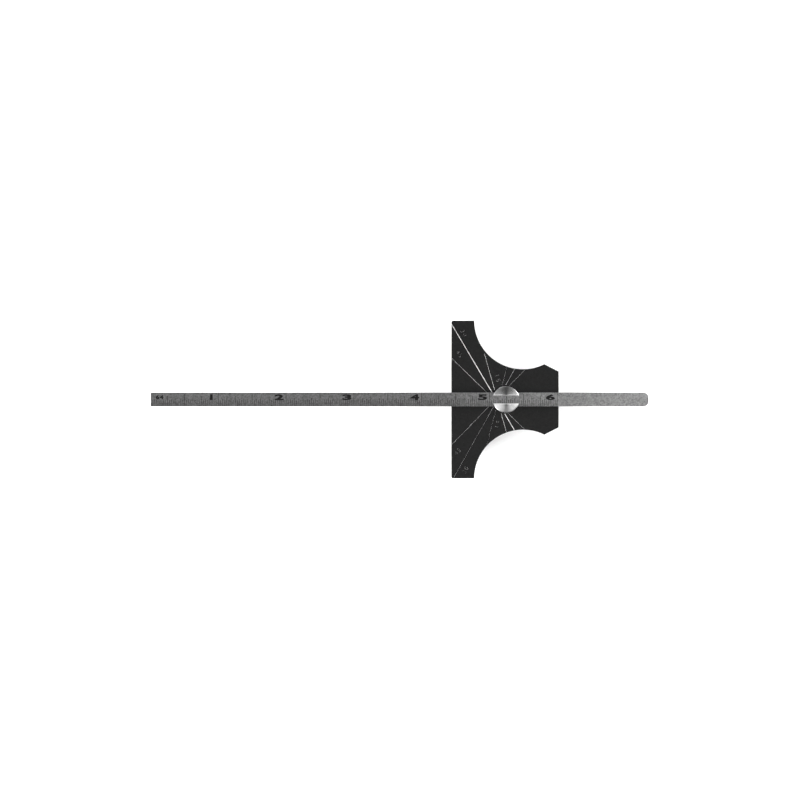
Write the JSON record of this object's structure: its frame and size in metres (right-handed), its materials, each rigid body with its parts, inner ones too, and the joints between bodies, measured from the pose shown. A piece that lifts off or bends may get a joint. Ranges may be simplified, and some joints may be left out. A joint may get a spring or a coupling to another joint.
{
  "type": "depth and angle gauge",
  "caption": "T-shaped steel gauge: a narrow graduated rule slides and turns in a slotted turret clamp on a flat black head with round bites.",
  "frame": {"origin": "middle of the working face, the long straight edge of the head that sits on the work, at half the plate's thickness", "axes": "+X from the working face through the head to its tail, so the rule's zero end points to -X; +Y along the working face; +Z out of the front, where the rule lies"},
  "size_m": [0.1866, 0.0592, 0.0124],
  "materials": {
    "black_oxide_steel": "black oxide over fine-ground steel, nearly matt",
    "satin_rule_steel": "satin steel brushed along its length, etched graduations filled with black",
    "turned_bright_steel": "bright turned steel with fine concentric tool marks",
    "plated_steel": "nickel-plated turned steel",
    "spring_steel": "drawn spring wire"
  },
  "bodies": {
    "head": {"head_plate": "black_oxide_steel"},
    "turret": {"clamp_stud": "turned_bright_steel", "thrust_washer": "plated_steel"},
    "rule": {"rule": "satin_rule_steel"},
    "spring": {"friction_spring": "spring_steel"},
    "nut": {"clamp_nut": "plated_steel"}
  },
  "joints": [
    {"name": "head_swivel", "type": "hinge", "parent": "head", "child": "turret", "pos_m": [0.0204, 0, 0], "axis": [0, 0, 1], "continuous": true},
    {"name": "rule_slide", "type": "slide", "parent": "turret", "child": "rule", "axis": [1, 0, 0], "range_m": [-0.045, 0.1128]},
    {"name": "nut_lift", "type": "slide", "parent": "turret", "child": "spring", "axis": [0, 0, -1], "range_m": [0, 0.00105], "deforming": ["friction_spring"]},
    {"name": "nut_turn", "type": "hinge", "parent": "spring", "child": "nut", "pos_m": [0.0204, 0, 0], "axis": [0, 0, -1], "range_deg": [0, 540]}
  ],
  "couplings": [
    {"joint": "nut_lift", "follows": "nut_turn", "m_per_rad": 0.00011141}
  ]
}
